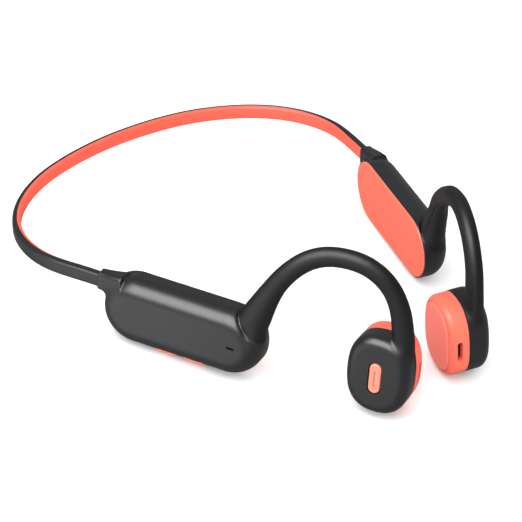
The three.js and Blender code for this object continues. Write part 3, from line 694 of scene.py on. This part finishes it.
def half_outline(sign, more=0.0, m=13):
    """Half of the rounded band section, the outer half for sign 1."""
    h, t, r, e = BAND_H / 2, BAND_T / 2, BAND_CORNER, 0.12
    g = 0.03 - (SEAM_X + more) * sign
    if sign < 0:
        r = min(r, t - g - e - 0.01)
    pts = [(g, -h + e), (g + e * 0.3, -h + e * 0.3), (g + e, -h)]
    for q in np.linspace(-np.pi / 2, 0, m):
        pts.append((t - r + r * math.cos(q), -h + r + r * math.sin(q)))
    for y in np.linspace(-h + r, h - r, 7)[1:-1]:
        pts.append((t + 0.06 * (1 - (y / (h - r)) ** 2), y))
    for q in np.linspace(0, np.pi / 2, m):
        pts.append((t - r + r * math.cos(q), h - r + r * math.sin(q)))
    pts += [(g + e, h), (g + e * 0.3, h - e * 0.3), (g, h - e)]
    a = np.array(pts)
    if sign < 0:
        a = a[::-1] * [-1, 1 - 0.13 * min(1, more / 0.8) ** 2]
    return a


def swept(outline, s0, s1, count, dx=0.0, dy=0.0):
    s = np.linspace(s0, s1, count)
    if callable(outline):
        wrap = 0.85 * np.clip(1.35 - np.minimum(s - s0, s1 - s) / 34, 0, 1) ** 1.3
        shape = [outline(w) for w in wrap]
    else:
        shape = [outline] * count
    c, e1, e2 = (np.stack([np.interp(s, BAND.s, v[:, k]) for k in range(3)], 1) for v in (BAND.c, BAND.e1, BAND.e2))
    rings = [c[i] + (shape[i][:, :1] + dx) * e1[i] + (shape[i][:, 1:] + dy) * e2[i] for i in range(count)]
    return tube(rings)


s0 = LEAD - 3.3
x_sign = 1 if (BAND.e1[600] @ np.array([0, 1, 0])) > 0 else -1
ring8 = lambda r: np.stack([r * np.cos(np.linspace(0, 2 * np.pi, 17)[:-1]), r * np.sin(np.linspace(0, 2 * np.pi, 17)[:-1])], 1)
pieces = [
    ("band_sleeve_surface", lambda w: half_outline(x_sign, w), MAT["silicone"], "band_sleeve", "charcoal_silicone", 0, 0),
    ("band_liner_surface", lambda w: half_outline(-x_sign, w), MAT["coral_skin"], "band_liner", "coral_silicone", 0, 0),
    ("band_wire_surface", ring8(0.5), MAT["wire"], "band_wire", "titanium_wire", 0, 0.65),
    ("band_cable_surface", ring8(0.5), MAT["cable"], "band_cable", "black_seal", 0, -0.66)]
for name, outline, mat, stem, sl_, dx, dy in pieces:
    pts, faces = swept(outline, s0, BAND.length - s0, 520, dx, dy)
    ob = add(name, pts, faces, mat, None, False, [f"right_{stem}", f"left_{stem}"], sl_)
    bm_fix = ob.data
    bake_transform(ob)

# --------------------------------------------------------- microphone in the slit
l_ = np.array([[SLIT_AT[0], SLIT_AT[1], 0]])


def mic_field(p):
    l = POD.local(p)
    d = seg_stadium(l[:, 0], l[:, 1], SLIT_AT[0], SLIT_AT[1], 0.9, 0.3)
    wave = 0.05 * np.cos(l[:, 0] * 2 * np.pi / 0.4) * np.cos(l[:, 1] * 2 * np.pi / 0.4)
    return [rjoin(d, np.abs(l[:, 2] - 3.1) - 0.15 + wave, 0.05)]


add("microphone_mesh_surface", *polygonise(mic_field, POD, [15.9, -0.6, 2.6], [19.1, 0.7, 3.6], 0.08), MAT["mesh"], "right_side", False, ["microphone_mesh"], "black_seal")

# ------------------------------------------------------------- hidden CAD nodes
inner = {"main_board": ((0.02, 0.12, 0.06), 0.4), "battery_board": ((0.02, 0.12, 0.06), 0.4)}
for n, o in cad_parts.items():
    if o.hide_render:
        continue
    o.data.materials.clear()
    if "board" in n:
        key, col, r, mt = "inner_board", (0.02, 0.13, 0.07), 0.42, 0.0
    elif "coil" in n:
        key, col, r, mt = "inner_copper", (0.75, 0.32, 0.14), 0.35, 1.0
    elif any(k in n for k in ("wire", "magnet", "yoke", "plate", "switch", "cell", "microphone")):
        key, col, r, mt = "inner_metal", (0.5, 0.5, 0.52), 0.34, 1.0
    else:
        key, col, r, mt = "inner_black", (0.02, 0.02, 0.02), 0.55, 0.0
    mat = bpy.data.materials.get(key) or node_mat(key, col, r, 0.08, 0.3, 4000, metal=mt)
    o.data.materials.append(mat)

# ----------------------------------------------------------------------- stage
floor_m = bpy.data.materials.new("floor")
floor_m.use_nodes = True
fb = floor_m.node_tree.nodes["Principled BSDF"]
fb.inputs["Base Color"].default_value = (0.93, 0.93, 0.93, 1)
fb.inputs["Roughness"].default_value = 0.75
fb.inputs["Specular IOR Level"].default_value = 0.2
fn = floor_m.node_tree
# Painted reflection and painted shade: the floor stays pale (0.93) to the camera. In reflections on the shells it turns
# towards dark grey (0.20), depending on the reflected ray's direction and on how far forward the floor point lies.
path_n, geo_n, sep_n, painted_reflection_by_direction, glossy_painted_dark_mask, floor_painted_shade_mix, pos_n, painted_reflection_forward, sum_n = (fn.nodes.new("ShaderNode" + k) for k in ("LightPath", "NewGeometry", "SeparateXYZ", "MapRange", "Math", "Mix", "SeparateXYZ", "MapRange", "Math"))
painted_reflection_by_direction.inputs["From Min"].default_value, painted_reflection_by_direction.inputs["From Max"].default_value = 0.84, 0.48
painted_reflection_forward.inputs["From Min"].default_value, painted_reflection_forward.inputs["From Max"].default_value = -0.015, -0.072
painted_reflection_forward.inputs["To Max"].default_value = 0.62
sum_n.use_clamp = True
glossy_painted_dark_mask.operation, floor_painted_shade_mix.data_type = "MULTIPLY", "RGBA"
# pale floor colour, and the dark grey that is painted into its reflections and its bounce light
floor_painted_shade_mix.inputs[6].default_value, floor_painted_shade_mix.inputs[7].default_value = (0.93, 0.93, 0.93, 1), (0.20, 0.20, 0.20, 1)
fn.links.new(geo_n.outputs["Incoming"], sep_n.inputs[0])
fn.links.new(sep_n.outputs["X"], painted_reflection_by_direction.inputs["Value"])
fn.links.new(geo_n.outputs["Position"], pos_n.inputs[0])
fn.links.new(pos_n.outputs["Y"], painted_reflection_forward.inputs["Value"])
fn.links.new(painted_reflection_by_direction.outputs["Result"], sum_n.inputs[0])
fn.links.new(painted_reflection_forward.outputs["Result"], sum_n.inputs[1])
fn.links.new(sum_n.outputs[0], glossy_painted_dark_mask.inputs[0])
fn.links.new(path_n.outputs["Is Glossy Ray"], glossy_painted_dark_mask.inputs[1])
# Painted shade on bounce light: diffuse rays see the floor half way to the dark grey. Glossy rays get the painted dark
# reflection mask.
floor_painted_shade_factor = fn.nodes.new("ShaderNodeMath")
floor_painted_shade_factor.operation = "MULTIPLY_ADD"
floor_painted_shade_factor.inputs[1].default_value = 0.5
fn.links.new(path_n.outputs["Is Diffuse Ray"], floor_painted_shade_factor.inputs[0])
fn.links.new(glossy_painted_dark_mask.outputs[0], floor_painted_shade_factor.inputs[2])
fn.links.new(floor_painted_shade_factor.outputs[0], floor_painted_shade_mix.inputs[0])
fn.links.new(floor_painted_shade_mix.outputs[2], fb.inputs["Base Color"])
me = bpy.data.meshes.new("floor")
R = 6.0
me.from_pydata([(-R, -R, -0.00002), (R, -R, -0.00002), (R, R, -0.00002), (-R, R, -0.00002)], [], [(0, 1, 2, 3)])
floor = bpy.data.objects.new("floor", me)
me.materials.append(floor_m)
bpy.context.scene.collection.objects.link(floor)


def lamp(name, direction, dist, size, power, target=(0, -0.02, 0.02), size_y=None, color=(1, 1, 1)):
    d = Vector(direction).normalized()
    L = bpy.data.lights.new(name, "AREA")
    L.shape = "RECTANGLE"
    L.size, L.size_y = size, size_y or size
    L.energy = power
    L.color = color
    o = bpy.data.objects.new(name, L)
    bpy.context.scene.collection.objects.link(o)
    o.location = Vector(target) + d * dist
    o.rotation_mode = "QUATERNION"
    o.rotation_quaternion = (-d).to_track_quat("-Z", "Y")
    return o


lamp("key_sheen", (-0.71, -0.04, 0.70), 1.1, 1.15, 31, size_y=0.95).visible_diffuse = False
lamp("key_soft", (-0.62, -0.1, 0.78), 1.3, 1.4, 19).visible_glossy = False
lamp("front", (0.1, -0.95, 0.55), 1.3, 1.1, 3).visible_glossy = False
world = bpy.data.worlds.new("world")
bpy.context.scene.world = world
world.use_nodes = True
world.node_tree.nodes["Background"].inputs["Color"].default_value = (1, 1, 1, 1)
wn = world.node_tree
wp, wm = wn.nodes.new("ShaderNodeLightPath"), wn.nodes.new("ShaderNodeMapRange")
wm.inputs["To Max"].default_value = 1.1
wc, wd, wr = (wn.nodes.new("ShaderNode" + k) for k in ("TexCoord", "VectorMath", "MapRange"))
wd.operation = "DOT_PRODUCT"
wd.inputs[1].default_value = (0.6, 0.6, 0.5)
wr.inputs["From Min"].default_value, wr.inputs["From Max"].default_value = -0.3, 0.95
wr.inputs["To Min"].default_value, wr.inputs["To Max"].default_value = 0.05, 0.36
wn.links.new(wc.outputs["Generated"], wd.inputs[0])
wn.links.new(wd.outputs["Value"], wr.inputs["Value"])
wn.links.new(wr.outputs["Result"], wm.inputs["To Min"])
wn.links.new(wp.outputs["Is Diffuse Ray"], wm.inputs["Value"])
wx = wn.nodes.new("ShaderNodeMath")
wx.operation = "MAXIMUM"
wn.links.new(wm.outputs["Result"], wx.inputs[0])
wn.links.new(wp.outputs["Is Camera Ray"], wx.inputs[1])
wn.links.new(wx.outputs[0], wn.nodes["Background"].inputs["Strength"])
sc = bpy.context.scene
sc.view_settings.view_transform = "Standard"
sc.view_settings.look = "None"
sc.view_settings.exposure = 0.0

# ---------------------------------------------------------------------- camera
CAM = [2.6043, -43.3379, 31.0951, 0.0036, -7.7689, -14.9538, 809.0475]
az, el, roll = (math.radians(v) for v in CAM[1:4])
back = np.array([math.sin(az) * math.cos(el), -math.cos(az) * math.cos(el), math.sin(el)])
z = -back
xr = np.cross(z, [0, 0, 1.0])
xr /= np.linalg.norm(xr)
yd = np.cross(z, xr)
c, s = math.cos(roll), math.sin(roll)
RM = np.array([c * xr + s * yd, -s * xr + c * yd, z])
pos = -RM.T @ np.array(CAM[4:7])
tt = math.radians(REST_TILT)
MT = np.array([[1, 0, 0], [0, math.cos(tt), math.sin(tt)], [0, -math.sin(tt), math.cos(tt)]])
X, Y, Z = MT @ RM[0], -MT @ RM[1], -MT @ RM[2]
cam = bpy.data.cameras.new("camera")
cam_o = bpy.data.objects.new("camera", cam)
sc.collection.objects.link(cam_o)
cam.sensor_width = 36
cam.lens = CAM[0] * 1000 / 522 * 36
cam.clip_start, cam.clip_end = 0.05, 50
w = to_world(pos)
cam_o.matrix_world = Matrix(((X[0], Y[0], Z[0], w[0]), (X[1], Y[1], Z[1], w[1]), (X[2], Y[2], Z[2], w[2]), (0, 0, 0, 1)))
sc.camera = cam_o
